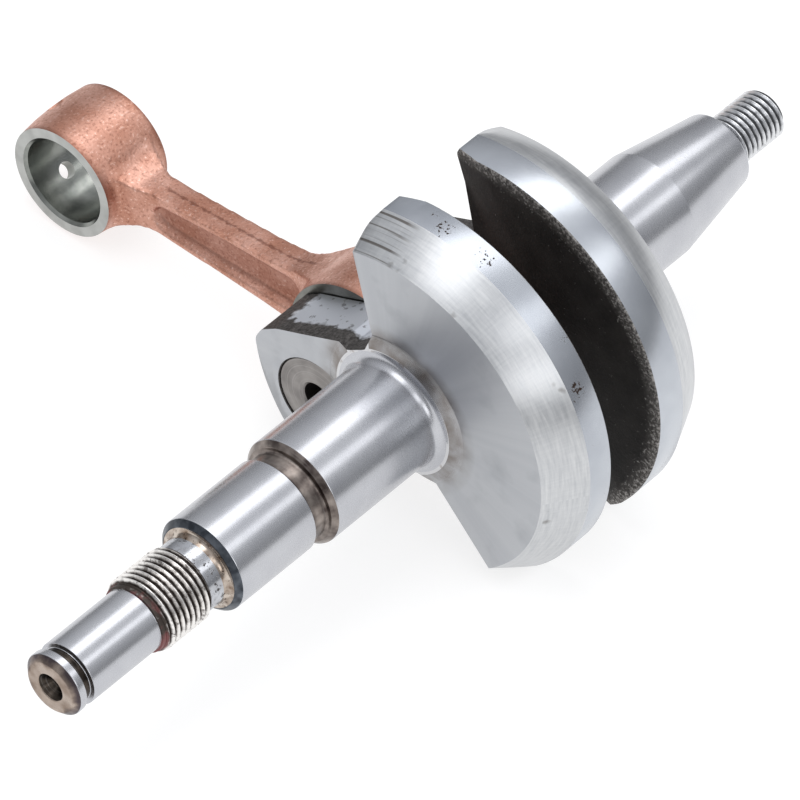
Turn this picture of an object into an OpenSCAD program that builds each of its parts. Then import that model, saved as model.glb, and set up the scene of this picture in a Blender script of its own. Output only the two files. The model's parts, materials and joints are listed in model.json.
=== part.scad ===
// Built-up crankshaft of a small two-stroke engine, with its connecting rod.
// Two forged crank halves are pressed on one hollow crank pin. The rod's big
// end runs on that pin on a caged needle roller bearing.
// +X runs along the crank axis towards the flywheel end and +Z is up. The
// crank lies with the rod's small end on a bench. The origin is on the crank
// axis, at the middle of the clutch side's main bearing seat.

/* [Crank] */
// Piston stroke, twice the crank throw
stroke = 34; // [33:0.1:34.4]
// Diameter of the counterweights
counterweight_d = 60.2; // [59:0.1:60.6]
// Thickness of the webs at the counterweights
counterweight_t = 10.6; // [10.2:0.1:11.2]
// Gap between the two counterweights
counterweight_gap = 10.2; // [9.4:0.1:10.8]
// Gap between the two pin lobes, where the rod's big end runs
lobe_gap = 12.8; // [12.7:0.1:13.2]
// Radius of the lobe's end about the crank axis
lobe_end_r = 26.4; // [25.6:0.1:26.4]
// Distance from the crank axis to the counterweight's straight edges, beside the hub
chord_offset = 1.6; // [1.2:0.1:2]
// Angle by which those straight edges fall back towards the rim
chord_angle = 14.5; // [13:0.5:16]
// Angle of the crank pin above the horizontal, as the crank lies
crank_angle = -32; // [-34:0.5:-30]

/* [Clutch side shaft] */
// Diameter of the main bearing journals
journal_d = 17; // [16.8:0.1:17.2]
// Length of the clutch side's main journal, from its chamfer to its fillet
journal_clutch_l = 19.2; // [18.5:0.1:19.6]
// Diameter of the seal and pump seat
pump_seat_d = 15; // [14.6:0.1:15.2]
// Length of the seal and pump seat, with its chamfers
pump_seat_l = 15.7; // [15:0.1:16.5]
// Outer diameter of the clutch thread
clutch_thread_d = 12; // [11.8:0.1:12.2]
// Length of the clutch thread
clutch_thread_l = 8.9; // [8:0.1:9.5]
// Diameter of the clutch drum seat
drum_seat_d = 10; // [9.8:0.1:10.2]
// Length of the clutch drum seat
drum_seat_l = 14; // [13:0.1:14.5]

/* [Flywheel side shaft] */
// Length of the flywheel side's main journal, from its fillet to the taper
journal_flywheel_l = 20.4; // [19.5:0.1:21.5]
// Length of the flywheel taper
taper_l = 15.1; // [14.5:0.1:16]
// Diameter of the flywheel taper's small end
taper_end_d = 12; // [11.6:0.1:12.4]
// Outer diameter of the flywheel thread
flywheel_thread_d = 8; // [7.8:0.1:8.2]
// Length of the flywheel thread, with its runout
flywheel_thread_l = 10.6; // [10:0.1:11.5]

/* [Crank pin and bearing] */
// Diameter of the crank pin
crank_pin_d = 14; // [13.8:0.1:14.1]
// Diameter of the hole along the crank pin
crank_pin_hole_d = 5.2; // [4:0.1:6]
// Nominal diameter of a needle roller
roller_d = 3; // [2.9:0.1:3]
// Length of a needle roller
roller_l = 9.2; // [8.8:0.1:9.4]
// Width of the roller cage
cage_w = 12; // [11.8:0.1:12.2]

/* [Connecting rod] */
// Distance between the centres of the rod's two eyes
rod_length = 57; // [56.8:0.1:58]
// Width of both eyes along the crank pin
rod_w = 12.4; // [12.3:0.05:12.5]
// Outer diameter of the big end, at the middle of its barrel
big_end_d = 27.4; // [26.6:0.1:27.6]
// Outer diameter of the small end, at the middle of its barrel
small_end_d = 19; // [18.6:0.1:19.2]
// Bore of the small end, which takes the piston pin's needle cage
small_end_bore_d = 14; // [13.8:0.1:14.2]
// Thickness of the I-beam shank
shank_t = 5; // [4.6:0.1:5]
// Width of the shank beside the big end
shank_w_big = 9; // [8.6:0.1:9.6]
// Width of the shank beside the small end
shank_w_small = 6.4; // [6:0.1:7]
// Angle of the rod above the horizontal, as it lies
rod_angle = -3.85; // [-4.3:0.05:-3.5]

/* [Hidden] */
$fn = 96;

// Number of needle rollers, each with a node of its own
roller_count = 14;
// Radial clearance of each roller against the pin and against the rod's race
roller_clearance = 0.02;
pocket_clearance = 0.06;
cage_clearance = 0.25;
// How far the crank pin's ends sit below the webs' outer faces
pin_recess = 0.2;
big_cut = 200;

throw = stroke / 2;
journal_r = journal_d / 2;
pin_r = crank_pin_d / 2;
roller_r = roller_d / 2 - roller_clearance / 2;
race_r = pin_r + 2 * roller_r + 2 * roller_clearance;
roller_orbit_r = pin_r + roller_r + roller_clearance;

// Collar and fillet between each main journal and its web
collar_h = 0.8;
collar_r = 10.3;
collar_foot_r = 12.4;
collar_fillet = 1.4;
// Half the width of the counterweight's hub, where its straight edges begin
hub_w = 12;

// Stations along the crank axis, from the origin
bearing_half = 6;
web_clutch_x = bearing_half + collar_fillet + collar_h;
web_mid_x = web_clutch_x + counterweight_t + counterweight_gap / 2;
rim_clutch_w = 4.5;
rim_flywheel_w = 5;
web_face_clutch_r = 26.4;
web_face_flywheel_r = 27.5;
lobe_t = counterweight_t - (lobe_gap - counterweight_gap) / 2;

// Points of a quarter-round fillet, from angle a to angle b about a centre
function arc_points(centre, r, a, b, steps = 6) =
    [for (i = [0 : steps]) centre + r * [cos(a + (b - a) * i / steps), sin(a + (b - a) * i / steps)]];

// Turns a part that is built along Z, with +X towards the crank pin, on to
// the crank axis
module on_crank_axis() {
    rotate([0, 90, 0])
        rotate([0, 0, 90 + crank_angle])
            children();
}

// The same for a part built around the crank pin's axis, midway between the
// webs, with +X along the given angle
module on_pin_axis(angle) {
    translate([web_mid_x, throw * cos(crank_angle), throw * sin(crank_angle)])
        rotate([0, 90, 0])
            rotate([0, 0, 90 + angle])
                children();
}

// Level of the counterweight's straight edge at a distance w beside the axis
function chord_x(w) = -chord_offset - tan(chord_angle) * (w - hub_w);

// Points mirrored about the line through both axes, as one closed outline
function both_sides(points) = concat(
    points,
    [for (i = [len(points) - 1 : -1 : 0]) [points[i][0], -points[i][1]]]
);

// Outline of one web seen along the crank axis, with the pin towards +X
module web_outline() {
    horn_w = 28.2;
    intersection() {
        circle(d = counterweight_d, $fn = 180);
        polygon(both_sides([
            [-big_cut, big_cut / 4],
            [-14, big_cut / 4],
            [chord_x(horn_w) - 3.7, horn_w + 2.4],
            [chord_x(horn_w), horn_w],
            [-chord_offset, hub_w]
        ]));
    }
    intersection() {
        circle(r = lobe_end_r, $fn = 180);
        polygon(both_sides([
            [-3, 9.8],
            [4.4, 9.7],
            [6, 10.5],
            [13, 11.1],
            [19, 11.7],
            [22.3, 11.3],
            [24.3, 10.1],
            [28, 8]
        ]));
    }
    circle(r = collar_foot_r - 0.2);
}

// Forged notch on each side of the hub, between the counterweight and the
// lobe; it cuts into the collar's foot
module notches() {
    outside = 14;
    for (side = [-1, 1])
        scale([1, side, 1])
            translate([0, 0, -collar_h - 0.2])
                linear_extrude(counterweight_t * 2)
                    polygon([
                        [-chord_offset + 0.2, outside],
                        [-chord_offset + 0.2, hub_w],
                        [0.2, 10.1],
                        [4.4, 9.6],
                        [6, 10.4],
                        [7.4, 10.4],
                        [7.4, outside]
                    ]);
}

// Web with its outer face at z = 0 and its counterweight's inner face at
// z = counterweight_t; face_r is where the cone around its rim begins, and
// rim_w is the width of its cylindrical rim
module web(face_r, rim_w) {
    edge = 0.2;
    mouth = 0.3;
    draft_start = 12;
    draft_end = 4.5;
    draft_depth = 0.6;
    r = counterweight_d / 2;
    difference() {
        intersection() {
            linear_extrude(counterweight_t)
                web_outline();
            rotate_extrude($fn = 180)
                polygon([
                    [0, 0],
                    [face_r, 0],
                    [r, counterweight_t - rim_w],
                    [r, counterweight_t - edge],
                    [r - edge, counterweight_t],
                    [0, counterweight_t]
                ]);
        }
        // the lobe is thinner than the counterweight, to clear the big end
        translate([-chord_offset, -big_cut / 2, lobe_t])
            cube([big_cut, big_cut, big_cut]);
        // the counterweight slopes down towards its straight edges
        translate([0, big_cut / 2, 0])
            rotate([90, 0, 0])
                linear_extrude(big_cut)
                    polygon([
                        [-draft_start, counterweight_t],
                        [-draft_end, lobe_t - draft_depth],
                        [-chord_offset, lobe_t],
                        [0, lobe_t],
                        [0, 2 * counterweight_t],
                        [-draft_start, 2 * counterweight_t]
                    ]);
        translate([throw, 0, -1])
            cylinder(d = crank_pin_d, h = counterweight_t + 2);
        translate([throw, 0, -mouth])
            cylinder(r1 = pin_r + 2 * mouth, r2 = pin_r, h = 2 * mouth);
    }
}

// Collar and fillet in front of a web: r and z points from the journal's wall
// to the web's outer face at z = 0
function collar_points() = concat(
    [for (p = arc_points([journal_r + collar_fillet, -collar_h - collar_fillet],
        collar_fillet, 180, 90)) p],
    [[collar_r, -collar_h], [collar_foot_r, 0]]
);

// Clutch side shaft in r and z, from its tip to the web's outer face at z = 0
module clutch_shaft() {
    tip_chamfer = 0.9;
    disc_l = 2;
    groove_l = 1.5;
    groove_r = 4.2;
    relief_r = 5.3;
    relief_l = 0.7;
    neck_r = 5.5;
    neck_l = 3.5;
    neck_fillet = 1;
    seat_chamfer = 1;
    gap_r = 6.9;
    gap_l = 2.9;
    journal_chamfer = 0.8;
    thread_chamfer = 0.6;
    drum_r = drum_seat_d / 2;
    thread_r = clutch_thread_d / 2;
    seat_r = pump_seat_d / 2;
    journal_z = -collar_h - collar_fillet - journal_clutch_l;
    front_z = journal_z - journal_chamfer;
    seat_end = front_z - gap_l;
    seat_start = seat_end - pump_seat_l;
    thread_end = seat_start - neck_l;
    thread_start = thread_end - clutch_thread_l;
    drum_end = thread_start - relief_l;
    drum_start = drum_end - drum_seat_l + relief_l;
    tip = drum_start - groove_l - disc_l;
    centre_drill_r = 2.25;
    centre_drill_l = 3.6;
    drill_r = 1;
    difference() {
        rotate_extrude()
            polygon(concat(
                [
                    [0, tip],
                    [drum_r - tip_chamfer, tip],
                    [drum_r, tip + tip_chamfer],
                    [drum_r, tip + disc_l],
                    [groove_r, tip + disc_l],
                    [groove_r, drum_start],
                    [drum_r - 0.15, drum_start],
                    [drum_r, drum_start + 0.15],
                    [drum_r, drum_end],
                    [relief_r, drum_end],
                    [relief_r, thread_start],
                    [thread_r - thread_chamfer, thread_start],
                    [thread_r, thread_start + thread_chamfer],
                    [thread_r, thread_end - thread_chamfer],
                    [thread_r - thread_chamfer, thread_end],
                    [neck_r, thread_end]
                ],
                arc_points([neck_r + neck_fillet, seat_start - neck_fillet], neck_fillet, 180, 90),
                [
                    [seat_r, seat_start + seat_chamfer],
                    [seat_r, seat_end],
                    [gap_r, seat_end],
                    [gap_r, front_z],
                    [journal_r - journal_chamfer, front_z],
                    [journal_r, journal_z]
                ],
                collar_points(),
                [[0, 0]]
            ));
        // centre drilling in the tip
        translate([0, 0, tip])
            rotate_extrude()
                polygon([
                    [0, -1],
                    [centre_drill_r, -1],
                    [centre_drill_r, 0],
                    [drill_r, 2.2],
                    [drill_r, centre_drill_l],
                    [0, centre_drill_l + 0.6]
                ]);
    }
}

// Flywheel side shaft in r and z, built outwards from its web: the web's
// outer face is at z = 0 and the shaft runs towards -z
module flywheel_shaft() {
    taper_round = 0.5;
    thread_chamfer = 0.7;
    thread_r = flywheel_thread_d / 2;
    runout_r = 3.4;
    runout_l = 0.9;
    end_r = taper_end_d / 2;
    taper_z = -collar_h - collar_fillet - journal_flywheel_l;
    taper_end = taper_z - taper_l;
    tip = taper_end - flywheel_thread_l;
    rotate_extrude()
        polygon(concat(
            [
                [0, tip],
                [thread_r - thread_chamfer, tip],
                [thread_r, tip + thread_chamfer],
                [thread_r, taper_end - runout_l],
                [runout_r, taper_end - runout_l],
                [runout_r, taper_end],
                [end_r - taper_round, taper_end],
                [end_r, taper_end + taper_round],
                [journal_r, taper_z]
            ],
            collar_points(),
            [[0, 0]]
        ));
}

module crank_half_clutch() {
    color("#b9bcc1")
        translate([web_clutch_x, 0, 0])
            on_crank_axis()
                difference() {
                    union() {
                        web(web_face_clutch_r, rim_clutch_w);
                        clutch_shaft();
                    }
                    notches();
                }
}

module crank_half_flywheel() {
    color("#aeb3ba")
        translate([2 * web_mid_x - web_clutch_x, 0, 0])
            on_crank_axis()
                mirror([0, 0, 1])
                    difference() {
                        union() {
                            web(web_face_flywheel_r, rim_flywheel_w);
                            flywheel_shaft();
                        }
                        notches();
                    }
}

module crank_pin() {
    chamfer = 0.3;
    half = counterweight_t + counterweight_gap / 2 - pin_recess;
    color("#8f857b")
        on_pin_axis(crank_angle)
            rotate_extrude()
                polygon([
                    [crank_pin_hole_d / 2, -half],
                    [pin_r - chamfer, -half],
                    [pin_r, -half + chamfer],
                    [pin_r, half - chamfer],
                    [pin_r - chamfer, half],
                    [crank_pin_hole_d / 2, half]
                ]);
}

// Fillet of radius f beside an eye of radius r at the origin, above a shank of
// half width h that leaves towards +X
module shank_fillet(r, h, f) {
    x = sqrt((r + f) * (r + f) - (h + f) * (h + f));
    difference() {
        polygon([
            [0, 0],
            [x, h + f] * r / (r + f),
            [x, h + f],
            [x, h],
            [x, 0]
        ]);
        translate([x, h + f])
            circle(r = f);
    }
}

// Outline of the shank between the two eyes
module shank_outline() {
    big_fillet = 12;
    small_fillet = 4;
    inside = 0.2;
    polygon([
        [0, -shank_w_big / 2],
        [rod_length, -shank_w_small / 2],
        [rod_length, shank_w_small / 2],
        [0, shank_w_big / 2]
    ]);
    for (side = [0, 1])
        mirror([0, side, 0]) {
            shank_fillet(big_end_d / 2 - inside, shank_w_big / 2 - inside, big_fillet);
            translate([rod_length, 0])
                mirror([1, 0, 0])
                    shank_fillet(small_end_d / 2 - inside, shank_w_small / 2, small_fillet);
        }
}

// Outline of the I-beam's pocket, rounded at both ends
module pocket_outline() {
    flange = 1;
    big_r = shank_w_big / 2 - flange;
    small_r = shank_w_small / 2 - flange;
    big_x = big_end_d / 2 + 1.5 + big_r;
    small_x = rod_length - small_end_d / 2 - 5.5 - small_r;
    translate([big_x, 0])
        circle(r = big_r);
    translate([small_x, 0])
        circle(r = small_r);
    polygon([[big_x, -big_r], [small_x, -small_r], [small_x, small_r], [big_x, big_r]]);
}

// One eye of the rod: a forged barrel between two ground side faces
module eye(d) {
    barrel = 0.4;
    waist_half = 2.5;
    rotate_extrude()
        polygon([
            [0, -rod_w / 2],
            [d / 2 - barrel, -rod_w / 2],
            [d / 2, -waist_half],
            [d / 2, waist_half],
            [d / 2 - barrel, rod_w / 2],
            [0, rod_w / 2]
        ]);
}

module connecting_rod() {
    pocket_depth = 1.2;
    oil_hole_d = 2.6;
    bore_chamfer = 0.5;
    color("#c08a73")
        on_pin_axis(rod_angle)
            difference() {
                union() {
                    eye(big_end_d);
                    translate([rod_length, 0, 0])
                        eye(small_end_d);
                    translate([0, 0, -shank_t / 2])
                        linear_extrude(shank_t)
                            shank_outline();
                }
                for (side = [-1, 1]) {
                    // the pocket of the I-beam
                    translate([0, 0, side * shank_t / 2 - pocket_depth])
                        linear_extrude(2 * pocket_depth)
                            pocket_outline();
                    // oil holes of the small end, either side of its crown
                    translate([rod_length, 0, 0])
                        rotate([0, 90, side * 45])
                            cylinder(d = oil_hole_d, h = small_end_d);
                    // chamfers of the small end's bore
                    translate([rod_length, 0, side * (rod_w / 2 - bore_chamfer / 2)])
                        mirror([0, 0, side < 0 ? 1 : 0])
                            translate([0, 0, -bore_chamfer / 2])
                                cylinder(
                                    d1 = small_end_bore_d,
                                    d2 = small_end_bore_d + 4 * bore_chamfer,
                                    h = 2 * bore_chamfer
                                );
                }
                cylinder(r = race_r, h = 2 * rod_w, center = true);
                translate([rod_length, 0, 0])
                    cylinder(d = small_end_bore_d, h = 2 * rod_w, center = true);
            }
}

module roller_cage() {
    color("#7d7f84")
        on_pin_axis(rod_angle)
            difference() {
                cylinder(r = race_r - cage_clearance, h = cage_w, center = true);
                cylinder(r = pin_r + cage_clearance, h = 2 * cage_w, center = true);
                for (i = [0 : roller_count - 1])
                    rotate([0, 0, i * 360 / roller_count])
                        translate([roller_orbit_r, 0, 0])
                            cylinder(
                                r = roller_r + pocket_clearance,
                                h = roller_l + 2 * pocket_clearance,
                                center = true,
                                $fn = 32
                            );
            }
}

// Needle roller number i, counted from the side towards the small end
module needle_roller(i) {
    crown = 0.25;
    color("#d5d7da")
        on_pin_axis(rod_angle)
            rotate([0, 0, (i - 1) * 360 / roller_count])
                translate([roller_orbit_r, 0, 0])
                    rotate_extrude($fn = 32)
                        polygon([
                            [0, -roller_l / 2],
                            [roller_r - crown, -roller_l / 2],
                            [roller_r, -roller_l / 2 + crown],
                            [roller_r, roller_l / 2 - crown],
                            [roller_r - crown, roller_l / 2],
                            [0, roller_l / 2]
                        ]);
}

crank_half_clutch();
crank_half_flywheel();
crank_pin();
connecting_rod();
roller_cage();
needle_roller(1);  // roller_01
needle_roller(2);  // roller_02
needle_roller(3);  // roller_03
needle_roller(4);  // roller_04
needle_roller(5);  // roller_05
needle_roller(6);  // roller_06
needle_roller(7);  // roller_07
needle_roller(8);  // roller_08
needle_roller(9);  // roller_09
needle_roller(10);  // roller_10
needle_roller(11);  // roller_11
needle_roller(12);  // roller_12
needle_roller(13);  // roller_13
needle_roller(14);  // roller_14
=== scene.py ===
# %% [markdown]
# # A small two-stroke engine's crankshaft
#
# Such a crank is built up: two forged halves are pressed on one hollow crank
# pin, and a one-piece connecting rod runs on that pin on a caged needle
# bearing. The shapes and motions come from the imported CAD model, so the first
# step loads it as a fixed frame. Every later piece is placed from that frame.

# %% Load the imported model
import json
import math

import bpy
from mathutils import Euler, Matrix, Vector


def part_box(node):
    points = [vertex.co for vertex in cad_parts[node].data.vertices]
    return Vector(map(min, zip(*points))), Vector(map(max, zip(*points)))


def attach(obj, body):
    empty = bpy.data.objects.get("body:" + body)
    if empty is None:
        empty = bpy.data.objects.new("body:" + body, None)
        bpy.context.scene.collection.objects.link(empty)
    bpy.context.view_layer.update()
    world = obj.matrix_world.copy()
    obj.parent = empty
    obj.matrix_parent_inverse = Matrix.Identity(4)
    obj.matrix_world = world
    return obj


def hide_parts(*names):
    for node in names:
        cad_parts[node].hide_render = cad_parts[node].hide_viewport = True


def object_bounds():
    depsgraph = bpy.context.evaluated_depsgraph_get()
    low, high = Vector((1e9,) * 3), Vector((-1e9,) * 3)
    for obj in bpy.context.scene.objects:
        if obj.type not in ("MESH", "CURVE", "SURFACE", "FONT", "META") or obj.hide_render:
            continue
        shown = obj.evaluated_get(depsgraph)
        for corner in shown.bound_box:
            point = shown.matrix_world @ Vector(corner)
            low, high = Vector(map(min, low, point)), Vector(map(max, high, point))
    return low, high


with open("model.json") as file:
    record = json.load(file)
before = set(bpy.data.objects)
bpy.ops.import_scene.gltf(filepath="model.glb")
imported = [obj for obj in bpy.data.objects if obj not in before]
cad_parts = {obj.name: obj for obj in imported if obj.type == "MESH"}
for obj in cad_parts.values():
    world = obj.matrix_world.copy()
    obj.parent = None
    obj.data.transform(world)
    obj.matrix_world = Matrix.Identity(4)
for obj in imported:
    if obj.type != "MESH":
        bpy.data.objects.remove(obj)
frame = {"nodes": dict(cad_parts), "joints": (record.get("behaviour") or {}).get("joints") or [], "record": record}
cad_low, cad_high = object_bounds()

MM = 0.001
print("CAD box in mm:", [round(v / MM, 1) for v in (*cad_low, *cad_high)])

# %% [markdown]
# ## Where everything is
#
# Three places settle the whole object: the crank axis is the X axis, the rod's
# joint gives the crank pin, and the small end's bore mount gives the other end
# of the rod. A point of a crank half is then given by its station along X, its
# distance towards the crank pin and its distance sideways. A point of the rod
# is given the same way, along and across the rod.

# %% Read the driving places from the frame
joints = {joint["name"]: joint for joint in frame["joints"]}
mounts = {mount["name"]: mount for mount in frame["record"]["mounts"]}
pin = Vector(joints["rod_swing"]["pos_m"])
small_end = Vector(mounts["small_end_bore"]["pos_m"])
crank_angle = math.atan2(pin.z, pin.y)
rod_angle = math.atan2(small_end.z - pin.z, small_end.y - pin.y)
throw = math.hypot(pin.y, pin.z) / MM
rod_length = (small_end - pin).length / MM
mid = pin.x / MM
print(f"throw {throw:.2f} mm, rod {rod_length:.2f} mm, middle at {mid:.2f} mm")


def crank_point(x, towards_pin=0.0, sideways=0.0):
    """A point of the crank, from millimetres along X, towards the pin and sideways."""
    c, s = math.cos(crank_angle), math.sin(crank_angle)
    return Vector((x, towards_pin * c - sideways * s, towards_pin * s + sideways * c)) * MM


def rod_point(x, along=0.0, across=0.0):
    """A point of the rod, from millimetres along X, along the rod from its big end, and across it."""
    c, s = math.cos(rod_angle), math.sin(rod_angle)
    return Vector((x * MM, pin.y, pin.z)) + Vector((0, along * c - across * s, along * s + across * c)) * MM


# %% [markdown]
# ## Camera
#
# The crank lies on the bench and is seen from above and from the clutch side,
# through a very long lens, so parallel edges stay almost parallel. The camera
# is placed from its three angles and its distance to the point it looks at.

# %% Camera
view_azimuth = 51.168
view_elevation = 46.968
view_roll = 3.375
view_distance = 1.422
view_centre = Vector((6.831, -1.664, 4.049)) * MM

lens = bpy.data.cameras.new("camera")
camera = bpy.data.objects.new("camera", lens)
bpy.context.scene.collection.objects.link(camera)
turned = Euler((math.radians(90 - view_elevation), 0, math.radians(-view_azimuth))).to_matrix()
turned = turned @ Matrix.Rotation(math.radians(view_roll), 3, "Z")
camera_at = view_centre + turned @ Vector((0, 0, view_distance))
camera.matrix_world = Matrix.Translation(camera_at) @ turned.to_4x4()
lens.sensor_width = 36
lens.lens = 464.02
lens.clip_start = 0.05
lens.clip_end = 10
bpy.context.scene.camera = camera
print("camera at", [round(v, 3) for v in camera_at])

# %% [markdown]
# ## Modelling helpers
#
# Turned parts are the easiest shapes there are: an outline is drawn vertex by
# vertex and spun about its axis. Forged plates are an outline that is filled
# and extruded. Everything else is these two, joined or cut by a boolean
# modifier. An outline's corners can be rounded, as a cutter or a die leaves
# them.


# %% Helpers for turned and extruded shapes
def only(*objects):
    """Selects just these objects, and makes the first one active."""
    bpy.ops.object.select_all(action="DESELECT")
    for each in objects:
        each.select_set(True)
    bpy.context.view_layer.objects.active = objects[0]


def rounded(corners, steps=5):
    """Outline points from (a, b) corners, where (a, b, radius) is a rounded one."""
    points = []
    count = len(corners)
    for i, corner in enumerate(corners):
        here = Vector(corner[:2])
        radius = corner[2] if len(corner) > 2 else 0
        if not radius:
            points.append(here)
            continue
        back = (Vector(corners[i - 1][:2]) - here).normalized()
        on = (Vector(corners[(i + 1) % count][:2]) - here).normalized()
        half = back.angle(on) / 2
        centre = here + (back + on).normalized() * radius / math.sin(half)
        start = here + back * radius / math.tan(half) - centre
        end = here + on * radius / math.tan(half) - centre
        for k in range(steps + 1):
            points.append(centre + start.normalized().slerp(end.normalized(), k / steps) * radius)
    return points


def chain(name, points):
    """A chain of vertices through 3-D points, drawn by extruding one vertex."""
    bpy.ops.object.select_all(action="DESELECT")
    bpy.ops.mesh.primitive_plane_add(size=MM, location=(0, 0, 0))
    piece = bpy.context.object
    piece.name = name
    bpy.ops.object.mode_set(mode="EDIT")
    bpy.ops.mesh.merge(type="CENTER")
    bpy.ops.transform.translate(value=points[0])
    for here, there in zip(points, points[1:]):
        bpy.ops.mesh.extrude_vertices_move(TRANSFORM_OT_translate={"value": there - here})
    bpy.ops.mesh.select_all(action="SELECT")
    return piece


def lathe(name, outline, axis=Vector((0, 0, 0)), steps=128):
    """Spins an outline of (x, radius) points in mm about a line along X."""
    points = [axis + Vector((x, r, 0)) * MM for x, r in outline]
    piece = chain(name, points)
    bpy.ops.mesh.spin(steps=steps, angle=2 * math.pi, center=axis, axis=(1, 0, 0))
    bpy.ops.mesh.select_all(action="SELECT")
    bpy.ops.mesh.remove_doubles(threshold=1e-7)
    bpy.ops.mesh.normals_make_consistent(inside=False)
    bpy.ops.object.mode_set(mode="OBJECT")
    return piece


def plate(name, points, along):
    """Fills an outline of 3-D points and extrudes it along a vector."""
    piece = chain(name, points)
    bpy.ops.mesh.edge_face_add()
    bpy.ops.mesh.extrude_region_move(TRANSFORM_OT_translate={"value": along})
    bpy.ops.mesh.select_all(action="SELECT")
    bpy.ops.mesh.normals_make_consistent(inside=False)
    bpy.ops.object.mode_set(mode="OBJECT")
    return piece


def combine(piece, other, how):
    """Joins, cuts or intersects a piece with another one, which is used up."""
    only(piece)
    boolean = piece.modifiers.new("boolean", "BOOLEAN")
    boolean.operation = how
    boolean.object = other
    boolean.solver = "MANIFOLD"
    bpy.ops.object.modifier_apply(modifier=boolean.name)
    bpy.data.objects.remove(other)
    return piece


def triangles(piece):
    """How many triangles a piece has."""
    return sum(len(face.vertices) - 2 for face in piece.data.polygons)


# %% [markdown]
# ## Threads
#
# Each shaft end has a fine thread. A cut thread is a zigzag that climbs by one
# pitch per turn, so a Screw modifier sweeps one tooth into a helix. That endless
# helix is intersected with a chamfered blank, which fades the first and last
# turns out as on a real screw.


# %% Threaded blanks
def thread(name, start, end, crest_r, pitch, chamfer):
    """A cut thread along X between two stations, with chamfered ends."""
    root_r = crest_r - 0.61 * pitch
    flat = pitch / 8
    first = start - 2 * pitch
    turns = math.ceil((end - start) / pitch) + 4
    tooth = [
        (first, root_r),
        (first + flat, root_r),
        (first + pitch / 2 - flat / 2, crest_r),
        (first + pitch / 2 + flat / 2, crest_r),
        (first + pitch, root_r),
    ]
    helix = chain(name, [Vector((x, r, 0)) * MM for x, r in tooth])
    bpy.ops.object.mode_set(mode="OBJECT")
    screw = helix.modifiers.new("screw", "SCREW")
    screw.axis = "X"
    screw.screw_offset = pitch * MM
    screw.iterations = turns
    screw.steps = 72
    screw.render_steps = 72
    screw.use_merge_vertices = True
    screw.merge_threshold = 1e-7
    bpy.ops.object.modifier_apply(modifier=screw.name)
    bpy.ops.object.mode_set(mode="EDIT")
    bpy.ops.mesh.select_all(action="SELECT")
    bpy.ops.mesh.remove_doubles(threshold=1e-6)
    bpy.ops.mesh.select_all(action="DESELECT")
    bpy.ops.mesh.select_non_manifold()
    bpy.ops.mesh.edge_face_add()
    bpy.ops.mesh.select_all(action="SELECT")
    bpy.ops.mesh.quads_convert_to_tris()
    bpy.ops.mesh.normals_make_consistent(inside=False)
    bpy.ops.object.mode_set(mode="OBJECT")
    blank = lathe(name + "_blank", [
        (start, 0),
        (start, crest_r - chamfer),
        (start + chamfer, crest_r),
        (end - chamfer, crest_r),
        (end, crest_r - chamfer),
        (end, 0),
    ])
    return combine(blank, helix, "INTERSECT")


# %% [markdown]
# ## Webs
#
# A web is one forging: a half-round counterweight and, across the shaft, the
# lobe that holds the crank pin. Its outer face, its cone and its rim are turned
# afterwards, and its sides and its inner face stay as forged. So the outline is
# extruded, intersected with the turned shape, cut back at the lobe, and the
# edges are then broken with a small bevel.

# %% Sizes shared by both webs
# half the gap between the counterweights, in which the rod turns
half_gap = 5.1
counterweight_r = 30.1
counterweight_t = 10.6
lobe_t = 9.3
lobe_end_r = 26.4
hub_w = 12.0
pin_r = 7.0
collar_h = 0.8
collar_fillet = 1.4
collar_r = 10.3
collar_foot_r = 12.4
journal_r = mounts["main_journal_clutch"]["dims"]["r_mm"]
clutch_face = mid - half_gap - counterweight_t
flywheel_face = 2 * mid - clutch_face
print(f"web faces at {clutch_face:.1f} and {flywheel_face:.1f} mm")


def straight_edge(sideways):
    """Where a counterweight's straight edge lies, for a distance beside the axis."""
    return -1.6 - math.tan(math.radians(14.5)) * (sideways - hub_w)


notch_side = [
    (straight_edge(hub_w), hub_w, 0.6),
    (0.2, 10.1, 0.8),
    (4.4, 9.7, 0.6),
    (6, 10.5, 0.8),
]


def web_outline():
    """Corners of one web, towards the pin and sideways, in mm."""
    horn_w = 28.2
    end_angle = math.radians(19.9)
    side = [
        (-14, 34),
        (straight_edge(horn_w) - 3.7, horn_w + 2.4),
        (straight_edge(horn_w), horn_w, 2.0),
        *notch_side,
        (13, 11.1),
        (19, 11.7, 6),
        (22.5, 11.3, 3),
        (24.4, 10.0, 2),
    ]
    arc = [
        (lobe_end_r * math.cos(a), lobe_end_r * math.sin(a))
        for a in [end_angle * k / 6 for k in range(6, -7, -1)]
    ]
    other = [(corner[0], -corner[1], *corner[2:]) for corner in reversed(side)]
    return rounded([(-34, 34)] + side + arc + other + [(-34, -34)])


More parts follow.
